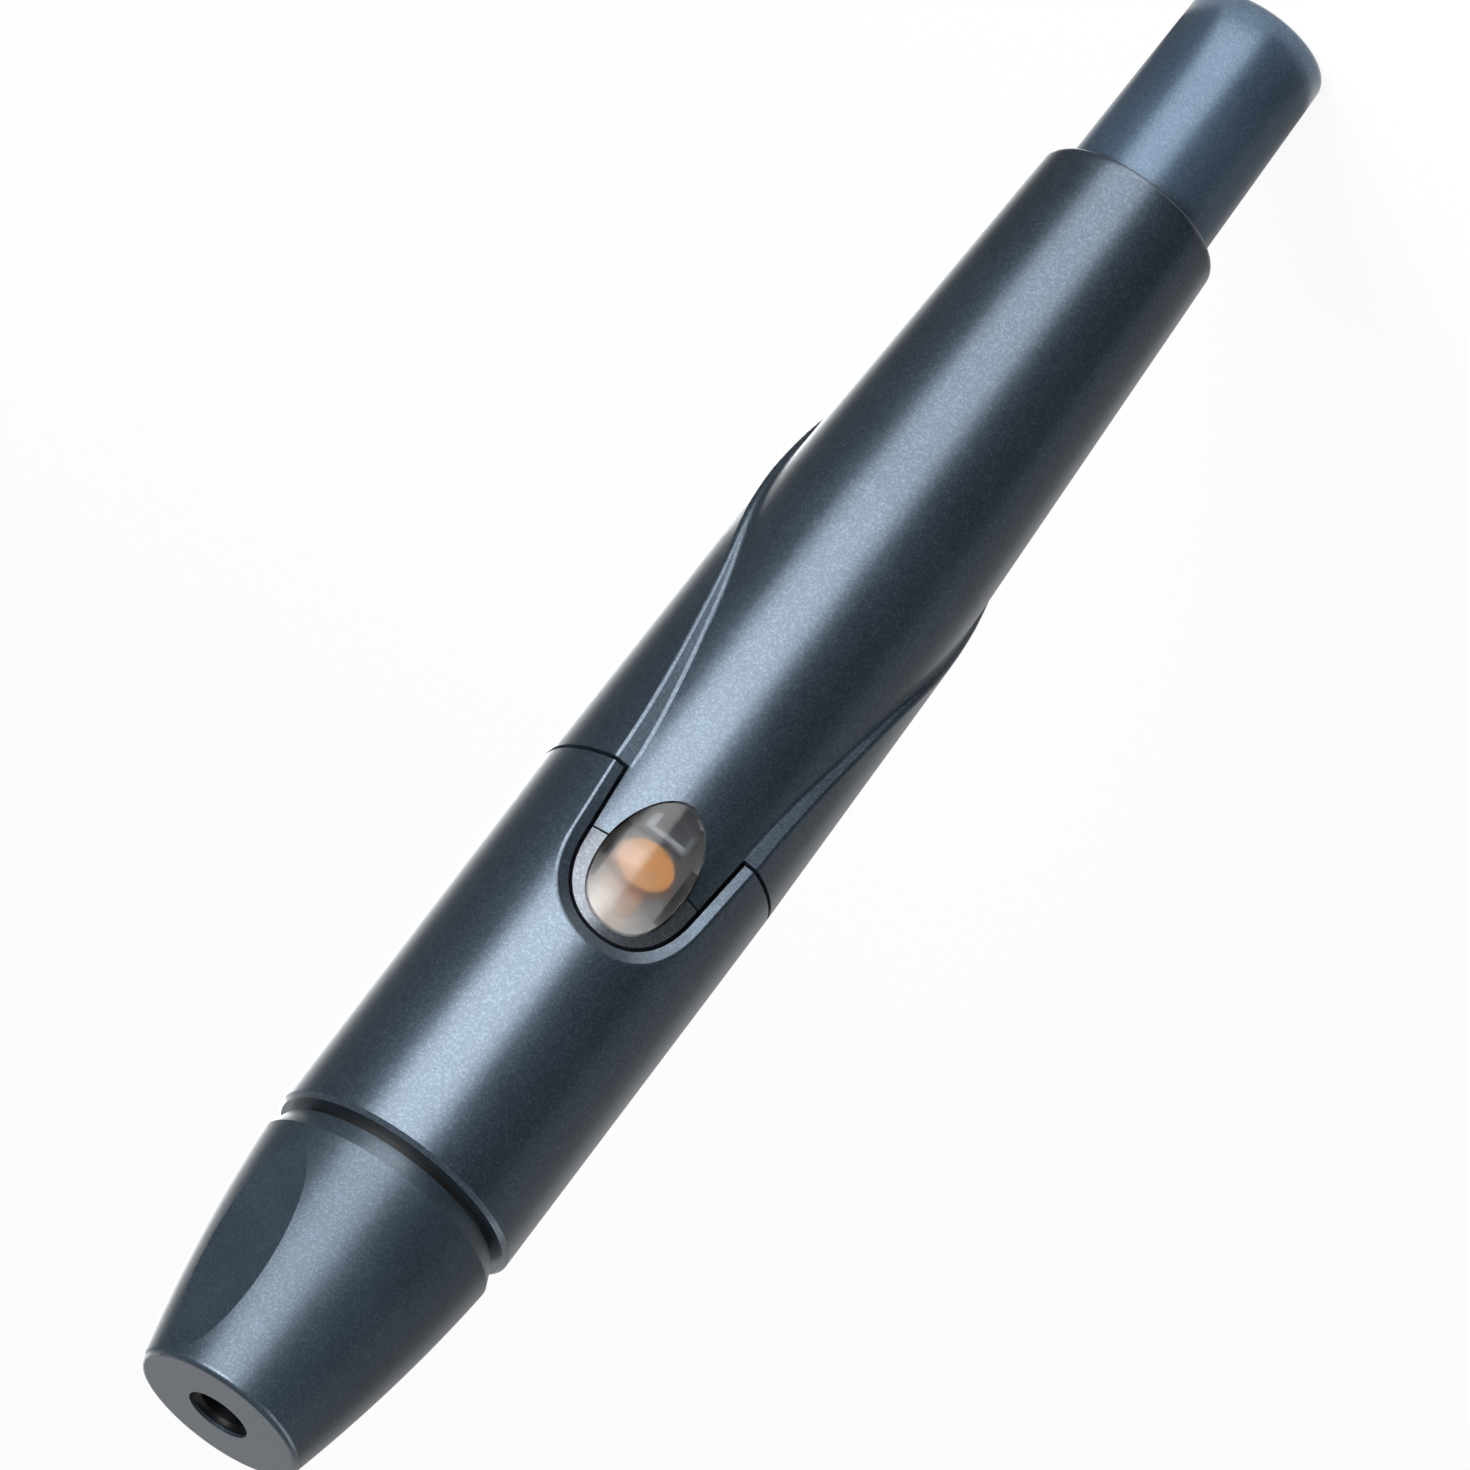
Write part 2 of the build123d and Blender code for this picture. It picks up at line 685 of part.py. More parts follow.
def make_striker():
    """Striker rod with the return spring's collar and the catch that the trigger holds."""
    return turned([
        (0, rod_front), (rod_radius, rod_front), (rod_radius, collar_front), (collar_radius, collar_front),
        (collar_radius, collar_rear), (rod_radius, collar_rear), (rod_radius, catch_front),
        (catch_radius, catch_front), (catch_radius, catch_rear), (rod_radius, catch_rear),
        (rod_radius, catch_rear + rod_tail), (0, catch_rear + rod_tail),
    ])


def make_prime_indicator():
    """Coloured flag on a post from the striker's collar, seen through the button when the pen is cocked."""
    centre = seen_height((indicator_front + indicator_rear) / 2)
    flag = Pos(0, centre) * Circle(indicator_radius)
    pad = looking_in(flag, indicator_top, indicator_underside)
    half = indicator_post_width / 2
    post_rear = collar_rear + indicator_post_width
    post = block((-half, half), (-indicator_underside, -rod_radius), collar_rear, post_rear)
    beam_depth = (-indicator_underside, -indicator_underside + indicator_thickness)
    beam = block((-half, half), beam_depth, collar_rear, indicator_rear - half)
    return pad + post + beam


def make_ejector_fork():
    """Ring in the sleeve's shoulder with two arms that carry the ejector pin forward beside the holder."""
    body = tube(shoulder_bore - running_clearance, fork_inner, shoulder_front, shoulder_rear)
    for side in (-1, 1):
        body += block(sorted((side * fork_inner, side * fork_outer)), (-fork_half_width, fork_half_width),
                      fork_front, shoulder_rear)
    return body - ejector_bar(ejector_pin_radius + press_clearance, fork_outer + 1)


def ejector_bar(radius, half_length):
    """Round bar along X near the front of the ejector fork."""
    return Pos(0, 0, height(ejector_pin_station)) * Rot(0, 90, 0) * Cylinder(radius, 2 * half_length)


def make_plunger():
    """Hollow plunger with a retaining flange, a stepped bore and a slightly narrower flat end."""
    end = make_face([
        Line((0, height(flange_front)), (plunger_flange_radius, height(flange_front))),
        Line((plunger_flange_radius, height(flange_front)), (plunger_flange_radius, height(bush_front))),
        Line((plunger_flange_radius, height(bush_front)), (plunger_radius, height(bush_front))),
        Line((plunger_radius, height(bush_front)), (plunger_radius, height(housing_rear))),
        Line((plunger_radius, height(housing_rear)), (plunger_end_radius, 0)),
        Line((plunger_end_radius, 0), (0, 0)),
        Line((0, 0), (0, height(flange_front))),
    ])
    corner = end.vertices().sort_by_distance((plunger_end_radius, 0, 0))[0]
    body = revolve(Plane.XZ * fillet(corner, plunger_end_round), Axis.Z)
    floor = overall_length - plunger_floor
    return body - turned([(0, flange_front), (plunger_bore, flange_front), (plunger_bore, prime_flange_rear),
                          (plunger_cavity, prime_flange_rear), (plunger_cavity, floor), (0, floor)])


def make_prime_sleeve():
    """Tube with a rear flange that seats in the plunger and reaches through the chassis bulkhead."""
    return turned([
        (prime_sleeve_bore, prime_front), (prime_sleeve_radius, prime_front),
        (prime_sleeve_radius, prime_flange_front), (plunger_bore - press_clearance, prime_flange_front),
        (plunger_bore - press_clearance, prime_flange_rear), (prime_sleeve_bore, prime_flange_rear),
    ])


def make_trigger_spring():
    """Small coil between the trigger lever and the housing, which lifts the button back."""
    length = housing_front_bore - lever_top - 2 * trigger_wire_radius
    path = Helix(length / trigger_turns, length, trigger_coil_radius)
    wire = Plane(origin=path @ 0, z_dir=path % 0) * RegularPolygon(trigger_wire_radius, wire_sides)
    coil = sweep(wire, path=path, is_frenet=True)
    station = pivot_station + trigger_spring_setback
    return Pos(0, -lever_top - trigger_wire_radius, height(station)) * Rot(90, 0, 0) * coil


def make_parts():
    """Every piece of the pen by name."""
    return {
        "cap": make_cap(),
        "depth_dial": make_depth_dial(),
        "dial_click_spring": make_dial_click_spring(),
        "front_sleeve": make_front_sleeve(),
        "depth_window": make_depth_window(),
        "ejector_fork": make_ejector_fork(),
        "ejector_pin": ejector_bar(ejector_pin_radius, fork_outer),
        "rear_housing": make_rear_housing(),
        "chassis": make_chassis(),
        "button_surround": make_button_surround(),
        "rear_bush": tube(bush_seat_radius, bush_bore, bush_front, bush_rear),
        "trigger_pin": pivot_bar(pivot_pin_radius, pivot_pin_half_length),
        "release_button": make_release_button(),
        "trigger_lever": make_trigger_lever(),
        "trigger_spring": make_trigger_spring(),
        "lancet_holder": make_lancet_holder(),
        "striker": make_striker(),
        "prime_indicator": make_prime_indicator(),
        "return_spring": helical_spring(return_coil_radius, return_wire_radius, return_turns,
                                        web_rear, collar_front),
        "drive_spring": helical_spring(drive_coil_radius, drive_wire_radius, drive_turns, catch_rear,
                                       seat_front),
        "drive_spring_seat": disc(spring_seat_radius, seat_front, prime_front),
        "prime_sleeve": make_prime_sleeve(),
        "plunger_spring": helical_spring(plunger_coil_radius, plunger_wire_radius, plunger_turns,
                                         chassis_rear, prime_flange_front),
        "plunger": make_plunger(),
    }


def main():
    """Writes each piece to its own file."""
    os.makedirs("parts", exist_ok=True)
    for name, piece in make_parts().items():
        export_step(piece, f"parts/{name}.step")


if __name__ == "__main__":
    main()
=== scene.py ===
"""Finishes, light and camera for a pen lancing device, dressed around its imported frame.

The pen stands on the flat end of its plunger with the tip up, and its release button faces -Y. Lengths are metres
unless a name ends in _mm, and patterns are sized in real millimetres.
"""

import logging
import math
from dataclasses import dataclass, field
from enum import Enum

import bpy
from mathutils import Matrix, Vector


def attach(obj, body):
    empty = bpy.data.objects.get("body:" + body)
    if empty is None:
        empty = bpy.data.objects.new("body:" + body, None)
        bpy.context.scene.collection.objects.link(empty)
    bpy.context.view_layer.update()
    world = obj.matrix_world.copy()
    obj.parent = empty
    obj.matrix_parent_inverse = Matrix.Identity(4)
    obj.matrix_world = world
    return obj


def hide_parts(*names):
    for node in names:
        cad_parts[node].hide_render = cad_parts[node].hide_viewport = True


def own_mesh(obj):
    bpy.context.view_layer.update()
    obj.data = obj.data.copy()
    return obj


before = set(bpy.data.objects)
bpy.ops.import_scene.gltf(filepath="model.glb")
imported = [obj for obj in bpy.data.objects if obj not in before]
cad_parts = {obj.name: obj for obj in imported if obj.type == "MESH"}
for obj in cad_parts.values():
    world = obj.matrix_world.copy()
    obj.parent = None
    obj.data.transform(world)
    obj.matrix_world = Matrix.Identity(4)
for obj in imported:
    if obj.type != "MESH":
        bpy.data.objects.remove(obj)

MM = 0.001
NOISE_LOW, NOISE_HIGH = 0.3, 0.7  # nearly all of a noise texture lies between these
POLYCARBONATE_IOR = 1.585
WHITE = (1.0, 1.0, 1.0, 1.0)
PLUNGER_TRAVEL_MM = 9.0
LOG = logging.getLogger("lancing_device")


class MouldWall(Enum):
    """How a mould's wall was finished: the width and depth, in mm, of the grain that it leaves on the plastic."""

    BLASTED = (0.22, 0.0020)
    FINE_BLASTED = (0.16, 0.0012)
    STONED = (0.30, 0.0006)
    POLISHED = (0.30, 0.0)


def linear(hex_colour: str) -> tuple[float, float, float, float]:
    """Turns an sRGB hex colour into the linear values that a shader takes.

    Args:
        hex_colour: Six hex digits, such as "3F4F5E".

    Returns:
        Linear red, green, blue and an alpha of 1.
    """
    channels = []
    for start in (0, 2, 4):
        value = int(hex_colour[start:start + 2], 16) / 255
        channels.append(value / 12.92 if value <= 0.04045 else ((value + 0.055) / 1.055) ** 2.4)
    return (channels[0], channels[1], channels[2], 1.0)


def per_mm(size_mm: float) -> float:
    """Scale of a texture, in cells per metre, whose cells are size_mm across."""
    return 1.0 / (size_mm * MM)


def add(tree: bpy.types.NodeTree, kind: str, settings: dict | None = None, **links: object) -> bpy.types.Node:
    """Adds a shader node with its settings, socket values and links.

    Args:
        tree: The node tree that takes the node.
        kind: The node's type name without the ShaderNode prefix.
        settings: Properties of the node itself.
        links: Input sockets by name, with underscores for spaces, or by place as i0, i1 and so on. A value is a
            constant or another node's output.

    Returns:
        The new node.
    """
    node = tree.nodes.new("ShaderNode" + kind)
    for name, value in (settings or {}).items():
        setattr(node, name, value)
    for name, value in links.items():
        place = int(name[1:]) if name[0] == "i" and name[1:].isdigit() else name.replace("_", " ")
        socket = node.inputs[place]
        if isinstance(value, bpy.types.NodeSocket):
            tree.links.new(value, socket)
        else:
            socket.default_value = value
    return node


def empty_material(name: str) -> tuple[bpy.types.Material, bpy.types.NodeTree]:
    """Starts a material with an empty node tree.

    Args:
        name: The material's name.

    Returns:
        The material and its tree.
    """
    material = bpy.data.materials.new(name)
    material.use_nodes = True
    material.node_tree.nodes.clear()
    return material, material.node_tree


@dataclass(frozen=True)
class MouldedPlastic:
    """Coloured thermoplastic from a steel mould, with an optional mica flake in the melt."""

    name: str
    colour: str
    roughness: float
    wall: MouldWall = MouldWall.FINE_BLASTED
    metallic: float = 0.0
    flake_colour: str = ""
    flake_mm: float = 0.10
    flake_share: float = 0.16
    cloud_mm: float = 5.0
    cloud_share: float = 0.05
    sheen_share: float = 0.05
    coat: float = 0.0
    coat_roughness: float = 0.3
    shaded_bore_mm: float = 0.0
    shaded_bore_top_mm: float = 0.0
    painted_shade_colour: str = "0E1114"

    def painted_shade_mask(self, tree: bpy.types.NodeTree, place: bpy.types.NodeSocket) -> bpy.types.NodeSocket:
        """Marks the wall of the tip's opening, where shade is painted.

        Args:
            tree: The material's node tree.
            place: Object coordinates.

        Returns:
            1 within shaded_bore_mm of the pen's axis and below shaded_bore_top_mm, and 0 elsewhere.
        """
        split = add(tree, "SeparateXYZ", Vector=place)
        flat = add(tree, "CombineXYZ", X=split.outputs["X"], Y=split.outputs["Y"])
        radius = add(tree, "VectorMath", {"operation": "LENGTH"}, i0=flat.outputs["Vector"])
        near = add(tree, "Math", {"operation": "LESS_THAN"}, i0=radius.outputs["Value"], i1=self.shaded_bore_mm * MM)
        below = add(tree, "Math", {"operation": "LESS_THAN"}, i0=split.outputs["Z"], i1=self.shaded_bore_top_mm * MM)
        both = add(tree, "Math", {"operation": "MULTIPLY"}, i0=near.outputs["Value"], i1=below.outputs["Value"])
        return both.outputs["Value"]

    def material(self) -> bpy.types.Material:
        """Builds the shader: base colour with soft clouds, flakes, and the fine grain of the mould's wall.

        Returns:
            The finished material.
        """
        material, tree = empty_material(self.name)
        place = add(tree, "TexCoord").outputs["Object"]
        # Flow in the mould leaves clouds a few millimetres wide that are barely lighter or darker
        cloud = add(tree, "TexNoise", Vector=place, Scale=per_mm(self.cloud_mm), Detail=3.0)
        shade = add(tree, "MapRange", Value=cloud.outputs["Fac"], From_Min=NOISE_LOW, From_Max=NOISE_HIGH,
                    To_Min=1 - self.cloud_share, To_Max=1 + self.cloud_share)
        tint = add(tree, "VectorMath", {"operation": "SCALE"}, i0=linear(self.colour)[:3],
                   Scale=shade.outputs["Result"])
        colour = tint.outputs["Vector"]
        if self.flake_colour:
            # Mica platelets are about 0.05 mm wide, and are drawn twice as coarse so that they show
            cells = add(tree, "TexVoronoi", {"feature": "F1"}, Vector=place, Scale=per_mm(self.flake_mm))
            lot = add(tree, "SeparateColor", Color=cells.outputs["Color"])
            bright = add(tree, "MapRange", Value=lot.outputs["Red"], From_Min=0.5, From_Max=1.0, To_Min=0.0,
                         To_Max=self.flake_share)
            mixed = add(tree, "Mix", {"data_type": "RGBA"}, i0=bright.outputs["Result"], i6=colour,
                        i7=linear(self.flake_colour))
            colour = mixed.outputs[2]
        if self.shaded_bore_mm:
            # Painted shade: the wall of the tip's opening is darkened towards near black, for the shade inside it
            shaded_bore = add(tree, "Mix", {"data_type": "RGBA"}, i0=self.painted_shade_mask(tree, place), i6=colour,
                        i7=linear(self.painted_shade_colour))
            colour = shaded_bore.outputs[2]
        grain_mm, grain_depth_mm = self.wall.value
        grain = add(tree, "TexNoise", Vector=place, Scale=per_mm(grain_mm), Detail=2.0)
        bump = add(tree, "Bump", Height=grain.outputs["Fac"], Distance=grain_depth_mm * MM, Strength=1.0)
        rough = add(tree, "MapRange", Value=cloud.outputs["Fac"], From_Min=NOISE_LOW, From_Max=NOISE_HIGH,
                    To_Min=self.roughness * (1 - self.sheen_share), To_Max=self.roughness * (1 + self.sheen_share))
        shader = add(tree, "BsdfPrincipled", Base_Color=colour, Metallic=self.metallic,
                     Roughness=rough.outputs["Result"], Coat_Weight=self.coat, Coat_Roughness=self.coat_roughness,
                     Normal=bump.outputs["Normal"])
        add(tree, "OutputMaterial", Surface=shader.outputs["BSDF"])
        return material


@dataclass(frozen=True)
class ClearPlastic:
    """Clear polycarbonate from a polished mould, which refracts what lies under it."""

    name: str
    colour: str
    roughness: float
    frost_and_light_colour: str = "E4E1DC"
    frost_and_light_rear_mm: float = 0.0
    frost_and_light_front_mm: float = 120.0
    frost_and_light_rear: float = 0.0
    frost_and_light_front: float = 0.0
    frost_and_light_sway_mm: float = 1.0
    frost_and_light_roughness: float = 0.3
    haze_mm: float = 1.5
    haze_band: tuple[float, float] = (0.35, 0.65)
    haze_share: float = 0.3
    drift_mm: float = 2.5
    gloss: float = 0.15

    def material(self) -> bpy.types.Material:
        """Builds the clear shader, with frost and painted light that fade in along the pen, and the haze that
        handling leaves.

        Returns:
            The finished material.
        """
        material, tree = empty_material(self.name)
        place = add(tree, "TexCoord").outputs["Object"]
        haze = add(tree, "TexNoise", Vector=place, Scale=per_mm(self.haze_mm), Detail=4.0)
        low, high = self.haze_band
        rough = add(tree, "MapRange", Value=haze.outputs["Fac"], From_Min=low, From_Max=high,
                    To_Min=self.roughness * (1 - self.haze_share), To_Max=self.roughness * (1 + self.haze_share))
        clear = add(tree, "BsdfPrincipled", Base_Color=linear(self.colour), Roughness=rough.outputs["Result"],
                    IOR=POLYCARBONATE_IOR, Specular_IOR_Level=self.gloss, Transmission_Weight=1.0)
        # The pale layer, partly blasted frost and partly painted light on the button's front, has an uneven edge that
        # sways to and fro along the pen
        drift = add(tree, "TexNoise", Vector=place, Scale=per_mm(self.drift_mm), Detail=3.0)
        sway = add(tree, "MapRange", Value=drift.outputs["Fac"], From_Min=NOISE_LOW, From_Max=NOISE_HIGH,
                   To_Min=-self.frost_and_light_sway_mm * MM, To_Max=self.frost_and_light_sway_mm * MM)
        height = add(tree, "SeparateXYZ", Vector=place)
        swayed = add(tree, "Math", {"operation": "ADD"}, i0=height.outputs["Z"], i1=sway.outputs["Result"])
        share = add(tree, "MapRange", {"interpolation_type": "SMOOTHSTEP"}, Value=swayed.outputs["Value"],
                    From_Min=self.frost_and_light_rear_mm * MM, From_Max=self.frost_and_light_front_mm * MM,
                    To_Min=self.frost_and_light_rear, To_Max=self.frost_and_light_front)
        # Painted light: the pale layer whose share rises towards the front also paints the light that the button's
        # front catches
        frost_and_light = add(tree, "BsdfPrincipled", Base_Color=linear(self.frost_and_light_colour), Roughness=self.frost_and_light_roughness,
                    IOR=POLYCARBONATE_IOR)
        shader = add(tree, "MixShader", i0=share.outputs["Result"], i1=clear.outputs["BSDF"],
                     i2=frost_and_light.outputs["BSDF"])
        add(tree, "OutputMaterial", Surface=shader.outputs["Shader"])
        return material


@dataclass(frozen=True)
class DrawnWire:
    """Hard-drawn spring steel, bright, with faint lines from the die."""

    name: str
    colour: str
    roughness: float
    die_line_mm: float = 0.3
    die_share: float = 0.2

    def material(self) -> bpy.types.Material:
        """Builds the metal shader with a faint uneven roughness.

        Returns:
            The finished material.
        """
        material, tree = empty_material(self.name)
        place = add(tree, "TexCoord").outputs["Object"]
        lines = add(tree, "TexNoise", Vector=place, Scale=per_mm(self.die_line_mm), Detail=3.0)
        rough = add(tree, "MapRange", Value=lines.outputs["Fac"], From_Min=NOISE_LOW, From_Max=NOISE_HIGH,
                    To_Min=self.roughness * (1 - self.die_share), To_Max=self.roughness * (1 + self.die_share))
        shader = add(tree, "BsdfPrincipled", Base_Color=linear(self.colour), Metallic=1.0,
                     Roughness=rough.outputs["Result"])
        add(tree, "OutputMaterial", Surface=shader.outputs["BSDF"])
        return material


# ABS with a mica flake, satin from a finely blasted mould: a soft wide highlight, and a faint sparkle in it
PEARL_ABS = MouldedPlastic("pearl_abs", "3A4A59", 0.34, metallic=0.75, flake_colour="9FB2C4", coat=1.0)
# The cap is the same ABS from a coarser blasted mould, with a duller and wider highlight; its greyer, darker colour
# is painted shade, and its tip opening has painted shade
SHADED_CAP_ABS = MouldedPlastic("shaded_cap_abs", "374653", 0.37, MouldWall.BLASTED, metallic=0.65, flake_colour="8496A6",
                         coat=0.7, shaded_bore_mm=2.6, shaded_bore_top_mm=118.3)
# The plunger's mould was left finer: a little lighter, with an even sheen
PLUNGER_ABS = MouldedPlastic("plunger_abs", "4A5F74", 0.38, metallic=0.6, flake_colour="9FB0C2", coat=0.6)
# Unpainted acetal for the dial: near black, smooth where its scale runs, with a dry sheen
DIAL_ACETAL = MouldedPlastic("dial_acetal", "0C0D0F", 0.5, MouldWall.POLISHED)
# Dark acetal of the inner tube and its guides
CHASSIS_ACETAL = MouldedPlastic("chassis_acetal", "181D23", 0.5)
# The crescent round the button is the same ABS, lighter and with more mica: a lit copy, painted light for the light
# that it catches
LIT_SURROUND_ABS = MouldedPlastic("lit_surround_abs", "4C535C", 0.34, metallic=0.65, flake_colour="C2C6CC", coat=0.7)
# Moulded acetal flag in orange, waxy
INDICATOR_ORANGE = MouldedPlastic("indicator_orange", "EE9A38", 0.35, MouldWall.STONED)
# Natural acetal of the striker and the lancet holder: off-white and waxy
NATURAL_ACETAL = MouldedPlastic("natural_acetal", "DEDCD2", 0.4, MouldWall.STONED)
# The button's polycarbonate is clear and handled, and paler towards its front, partly frost that softens what is
# under it and partly painted light
CLEAR_BUTTON = ClearPlastic("clear_button", "ECEFF3", 0.20, "D2D0CD", frost_and_light_rear_mm=75.6, frost_and_light_front_mm=79.2,
                            frost_and_light_rear=0.01, frost_and_light_front=0.4)
# The pane over the dial's scale is the same plastic, polished and clear all over
CLEAR_PANE = ClearPlastic("clear_pane", "F2F1EC", 0.03)
# Drawn spring steel, bright, for the springs and the pins
SPRING_WIRE = DrawnWire("spring_wire", "B8B9BA", 0.25)


@dataclass
class FinishShelf:
    """The materials made so far, one for each finish."""

    made: dict[str, bpy.types.Material] = field(default_factory=dict)

    def apply(self, finish: MouldedPlastic | ClearPlastic | DrawnWire, *names: str) -> None:
        """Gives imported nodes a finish.

        Args:
            finish: The finish of the real pieces.
            names: The nodes that take it.
        """
        if finish.name not in self.made:
            self.made[finish.name] = finish.material()
        for name in names:
            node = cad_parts[name]
            node.data.materials.clear()
            node.data.materials.append(self.made[finish.name])
            LOG.info("%s has the finish %s", name, finish.name)


@dataclass(frozen=True)
class Coil:
    """A coil spring copied from its node onto the housing; its axis, fixed end and travel are not used to shorten it.
    """

    node: str
    joint: str
    axis: tuple[float, float, float]
    fixed_mm: float
    travel_mm: float

    def build(self) -> bpy.types.Object:
        """Makes the coil that stands for the node, from the node's own mesh and finish.

        Returns:
            The new piece, which rides on the housing.
        """
        piece = bpy.data.objects.new(self.node + "_coil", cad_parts[self.node].data.copy())
        bpy.context.scene.collection.objects.link(piece)
        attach(piece, "housing")
        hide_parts(self.node)
        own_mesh(piece)
        LOG.info("%s shortens with %s", piece.name, self.joint)
        return piece


ALONG_PEN = (0.0, 0.0, 1.0)
THROUGH_PEN = (0.0, 1.0, 0.0)


@dataclass
class TipEnd:
    """The pull-off cap with the depth dial and its click spring."""

    shelf: FinishShelf

    def dress(self) -> None:
        """Gives the cap, the dial and its click spring their finishes."""
        self.shelf.apply(SHADED_CAP_ABS, "cap")
        self.shelf.apply(DIAL_ACETAL, "depth_dial")
        self.shelf.apply(SPRING_WIRE, "dial_click_spring")


@dataclass
class Barrel:
    """The two outer shells, the inner tube and the lancet ejector."""

    shelf: FinishShelf

    def dress(self) -> None:
        """Gives the shells, the tube and the ejector their finishes."""
        self.shelf.apply(PEARL_ABS, "front_sleeve", "rear_housing")
        self.shelf.apply(CLEAR_PANE, "depth_window")
        self.shelf.apply(CHASSIS_ACETAL, "chassis", "ejector_fork")
        self.shelf.apply(SPRING_WIRE, "ejector_pin")


@dataclass
class Trigger:
    """The clear button in its surround, with the lever that it presses."""

    shelf: FinishShelf
    spring_fixed_mm: float = -6.95
    spring_travel_mm: float = 0.9

    def dress(self) -> None:
        """Gives the button, its surround and the lever's group their finishes."""
        self.shelf.apply(CLEAR_BUTTON, "release_button")
        self.shelf.apply(LIT_SURROUND_ABS, "button_surround")
        self.shelf.apply(CHASSIS_ACETAL, "trigger_lever")
        self.shelf.apply(SPRING_WIRE, "trigger_pin", "trigger_spring")
        Coil("trigger_spring", "trigger_rock", THROUGH_PEN, self.spring_fixed_mm, self.spring_travel_mm).build()


@dataclass
class StrikerGroup:
    """The striker with its lancet holder, its flag and its springs."""

    shelf: FinishShelf
    return_fixed_mm: float = 87.55
    striker_travel_mm: float = 5.5
    drive_fixed_mm: float = 60.95

    def dress(self) -> None:
        """Gives the striker, the holder, the flag and the springs their finishes."""
        self.shelf.apply(NATURAL_ACETAL, "striker", "lancet_holder")
        self.shelf.apply(INDICATOR_ORANGE, "prime_indicator")
        self.shelf.apply(SPRING_WIRE, "return_spring", "drive_spring")
        Coil("return_spring", "striker_fire", ALONG_PEN, self.return_fixed_mm, self.striker_travel_mm).build()
        Coil("drive_spring", "plunger_press", ALONG_PEN, self.drive_fixed_mm, PLUNGER_TRAVEL_MM).build()


@dataclass
class CockingEnd:
    """The plunger with what it pushes and what guides it."""

    shelf: FinishShelf
    spring_fixed_mm: float = 41.05

    def dress(self) -> None:
        """Gives the plunger, its sleeve, seat, bush and spring their finishes."""
        self.shelf.apply(PLUNGER_ABS, "plunger")
        self.shelf.apply(CHASSIS_ACETAL, "rear_bush", "prime_sleeve", "drive_spring_seat")
        self.shelf.apply(SPRING_WIRE, "plunger_spring")
        Coil("plunger_spring", "plunger_press", ALONG_PEN, self.spring_fixed_mm, PLUNGER_TRAVEL_MM).build()


@dataclass(frozen=True)
class Card:
    """A curved card that stands round part of the pen, lit or dark, and shows in its gloss.

    The azimuths are degrees from the pen's front, positive towards +X. The rows are the card's section, from the pen
    outwards, as (distance, height). A glow of 1 is white paper.
    """

    name: str
    azimuths: tuple[float, float]
    rows: tuple[tuple[float, float], ...]
    glow: float


# The side of the pen that the key light is on
KEY_SIDE = (6.0, 55.0)
# Height of a lit card that lies on the floor, above the dark ones
LYING = 0.0008
# The far end of a sweep turns up from the floor
SWEEP = ((0.50, 0.001), (0.55, 0.30))
DARK_SWEEP = ((0.007, 0.0004), (1.2, 0.0004), (1.3, 0.45))
CARDS = (
    # A lit sweep under the key light carries the long highlight down to the plunger
    Card("key_foot", KEY_SIDE, ((0.008, LYING), (0.05, LYING)), 2.9),
    Card("key_near", KEY_SIDE, ((0.05, LYING), (0.16, LYING)), 3.2),
    Card("key_middle", KEY_SIDE, ((0.16, LYING), (0.30, LYING)), 7.6),
    Card("key_far", KEY_SIDE, ((0.30, LYING), *SWEEP), 2.8),
    # Dark cards keep the white floor out of the gloss on both sides of the highlight
    Card("left_flag", (-68.0, 2.0), DARK_SWEEP, 0.03),
    Card("rear_left_flag", (-125.0, -68.0), DARK_SWEEP, 0.28),
    Card("far_left_flag", (-176.0, -125.0), DARK_SWEEP, 0.45),
    Card("right_flag", (60.0, 140.0), DARK_SWEEP, 0.10),
    # A small card high on the left lights the front rims of the button and of the notch
    Card("kicker", (-115.0, -45.0), ((1.0, 0.50), (1.0, 0.80)), 4.0),
    # A lit card behind gives the back and the left side a long highlight of their own
    Card("rear_key", (158.0, 178.0), ((0.008, LYING), *SWEEP), 3.5),
    # A grey card behind is what the flat face of the tip reflects
    Card("back_card", (140.0, 230.0), ((1.0, 0.15), (1.0, 0.80)), 0.6),
)


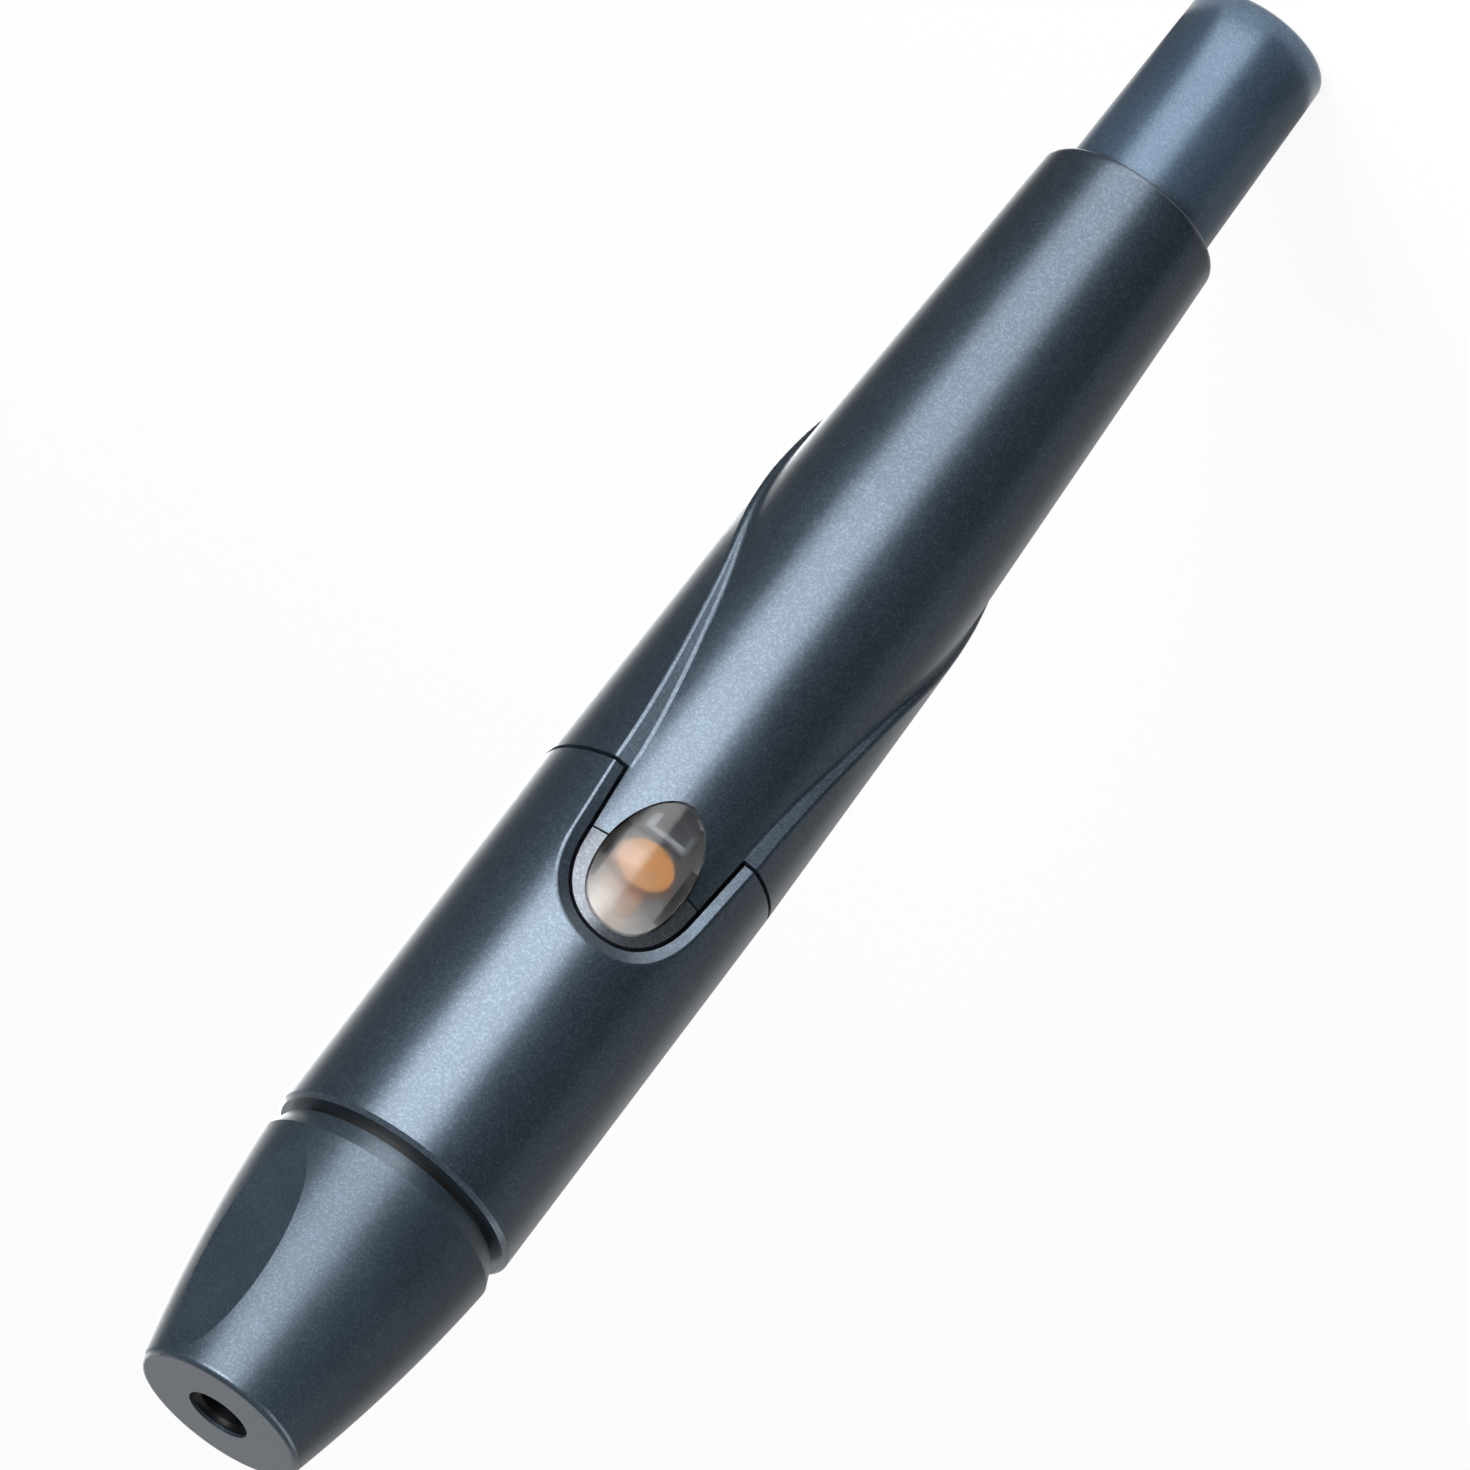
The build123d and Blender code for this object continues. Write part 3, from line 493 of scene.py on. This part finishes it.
@dataclass
class Studio:
    """White floor, soft light, reflection cards and the camera."""

    target: tuple[float, float, float] = (-0.00005, 0.0, 0.06115)
    azimuth: float = 5.4
    elevation: float = 21.5
    distance: float = 1.0
    roll: float = -142.8
    lens: float = 383.5
    sensor_width: float = 36.0
    clip: tuple[float, float] = (0.05, 20.0)
    floor_size: float = 6.0
    paper_colour: str = "C8C8C8"
    paper_glow: float = 0.92
    paper_shadow: float = 0.1
    surround_glow: float = 0.25
    card_step: float = 4.0

    def camera(self) -> None:
        """Places the camera on the photograph's line of sight."""
        data = bpy.data.cameras.new("camera")
        data.lens = self.lens
        data.sensor_width = self.sensor_width
        data.clip_start, data.clip_end = self.clip
        camera = bpy.data.objects.new("camera", data)
        bpy.context.scene.collection.objects.link(camera)
        around = math.radians(self.azimuth)
        up = math.radians(self.elevation)
        out = Vector((math.sin(around) * math.cos(up), -math.cos(around) * math.cos(up), math.sin(up)))
        camera.location = Vector(self.target) + out * self.distance
        look = out.to_track_quat("Z", "Y").to_matrix().to_4x4()
        turn = Matrix.Rotation(math.radians(self.roll), 4, "Z")
        camera.matrix_world = Matrix.Translation(camera.location) @ look @ turn
        bpy.context.scene.camera = camera

    def floor(self) -> None:
        """Lays the white floor, which still takes a faint shadow."""
        half = self.floor_size / 2
        mesh = bpy.data.meshes.new("floor")
        mesh.from_pydata([(-half, -half, 0), (half, -half, 0), (half, half, 0), (-half, half, 0)], [], [(0, 1, 2, 3)])
        floor = bpy.data.objects.new("floor", mesh)
        bpy.context.scene.collection.objects.link(floor)
        # Matt paper: it lights the pen as a pale grey, but is white to the camera, in gloss and through clear plastic
        material, tree = empty_material("paper_floor")
        rays = add(tree, "LightPath")
        seen = add(tree, "Math", {"operation": "MAXIMUM"}, i0=rays.outputs["Is Camera Ray"],
                   i1=rays.outputs["Is Transmission Ray"])
        shown = add(tree, "Math", {"operation": "MAXIMUM"}, i0=seen.outputs["Value"],
                    i1=rays.outputs["Is Glossy Ray"])
        paper = add(tree, "BsdfDiffuse", Color=linear(self.paper_colour))
        glow = add(tree, "Emission", Color=WHITE, Strength=self.paper_glow)
        pale = add(tree, "BsdfDiffuse", Color=(self.paper_shadow, self.paper_shadow, self.paper_shadow, 1.0))
        white = add(tree, "AddShader", i0=glow.outputs["Emission"], i1=pale.outputs["BSDF"])
        chosen = add(tree, "MixShader", i0=shown.outputs["Value"], i1=paper.outputs["BSDF"],
                     i2=white.outputs["Shader"])
        add(tree, "OutputMaterial", Surface=chosen.outputs["Shader"])
        floor.data.materials.append(material)

    def softbox(self, name: str, azimuth: float, height: float, distance: float, size: tuple[float, float],
                power: float) -> None:
        """Hangs a rectangular softbox that faces the pen.

        Args:
            name: The light's name.
            azimuth: Degrees from the pen's front, positive towards +X.
            height: Height of its centre.
            distance: Distance from the pen's axis.
            size: Width and height.
            power: Watts.
        """
        data = bpy.data.lights.new(name, "AREA")
        data.shape = "RECTANGLE"
        data.size, data.size_y = size
        data.energy = power
        light = bpy.data.objects.new(name, data)
        bpy.context.scene.collection.objects.link(light)
        around = math.radians(azimuth)
        light.location = Vector((math.sin(around) * distance, -math.cos(around) * distance, height))
        aim = Vector(self.target) - light.location
        light.rotation_euler = aim.to_track_quat("-Z", "Y").to_euler()

    def stand(self, card: Card) -> None:
        """Stands a card on the floor, where only the pen's gloss sees it.

        Args:
            card: The card.
        """
        start, end = card.azimuths
        count = max(2, round(abs(end - start) / self.card_step))
        turns = [math.radians(start + (end - start) * i / count) for i in range(count + 1)]
        points = [(math.sin(turn) * distance, -math.cos(turn) * distance, height)
                  for distance, height in card.rows for turn in turns]
        faces = []
        for row in range(len(card.rows) - 1):
            for i in range(count):
                low = row * (count + 1) + i
                faces.append((low, low + 1, low + count + 2, low + count + 1))
        mesh = bpy.data.meshes.new(card.name)
        mesh.from_pydata(points, [], faces)
        sheet = bpy.data.objects.new(card.name, mesh)
        bpy.context.scene.collection.objects.link(sheet)
        material, tree = empty_material(card.name)
        light = add(tree, "Emission", Color=WHITE, Strength=card.glow)
        add(tree, "OutputMaterial", Surface=light.outputs["Emission"])
        mesh.materials.append(material)
        for ray in ("visible_camera", "visible_diffuse", "visible_shadow", "visible_transmission"):
            setattr(sheet, ray, False)

    def world(self) -> None:
        """Sets an even pale surround."""
        world = bpy.data.worlds.new("surround")
        bpy.context.scene.world = world
        world.use_nodes = True
        world.node_tree.nodes.clear()
        glow = add(world.node_tree, "Background", Color=WHITE, Strength=self.surround_glow)
        add(world.node_tree, "OutputWorld", Surface=glow.outputs["Background"])

    def build(self) -> None:
        """Sets up everything round the pen."""
        self.camera()
        self.floor()
        self.world()
        # One large soft light stands to the right of the button, where the long highlight comes from
        self.softbox("key", azimuth=35.0, height=0.35, distance=0.55, size=(0.35, 0.35), power=5.0)
        for card in CARDS:
            self.stand(card)
        bpy.context.scene.view_settings.view_transform = "Standard"


def main() -> None:
    """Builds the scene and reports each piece."""
    logging.basicConfig(level=logging.INFO, format="%(message)s")
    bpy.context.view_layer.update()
    shelf = FinishShelf()
    for part in (TipEnd(shelf), Barrel(shelf), Trigger(shelf), StrikerGroup(shelf), CockingEnd(shelf)):
        part.dress()
        LOG.info("%s is dressed", type(part).__name__)
    Studio().build()


if __name__ == "__main__":
    main()
